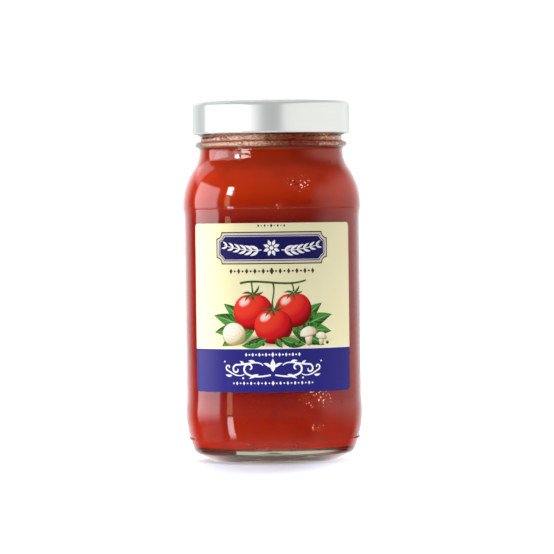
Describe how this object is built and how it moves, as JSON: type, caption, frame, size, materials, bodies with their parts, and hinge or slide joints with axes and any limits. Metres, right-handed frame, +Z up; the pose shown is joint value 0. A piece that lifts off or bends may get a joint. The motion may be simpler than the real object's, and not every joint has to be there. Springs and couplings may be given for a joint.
{
  "type": "tomato sauce jar",
  "caption": "Round clear glass jar of red tomato sauce, closed by a twist-off metal lid, with a paper label wrapped round its front.",
  "frame": {"origin": "middle of the jar's foot, on the surface that it stands on", "axes": "+Z up along the jar's axis, and -Y towards the label's front"},
  "size_m": [0.0834, 0.0834, 0.1694],
  "materials": {
    "glass": "clear, fire-polished",
    "sauce": "wet, finely pulped",
    "tinplate": "bright tinplate under clear lacquer",
    "label_paper": "coated and printed"
  },
  "bodies": {
    "root": {"glass_jar": "glass", "tomato_sauce": "sauce", "lid": "tinplate", "label": "label_paper"}
  },
  "joints": []
}
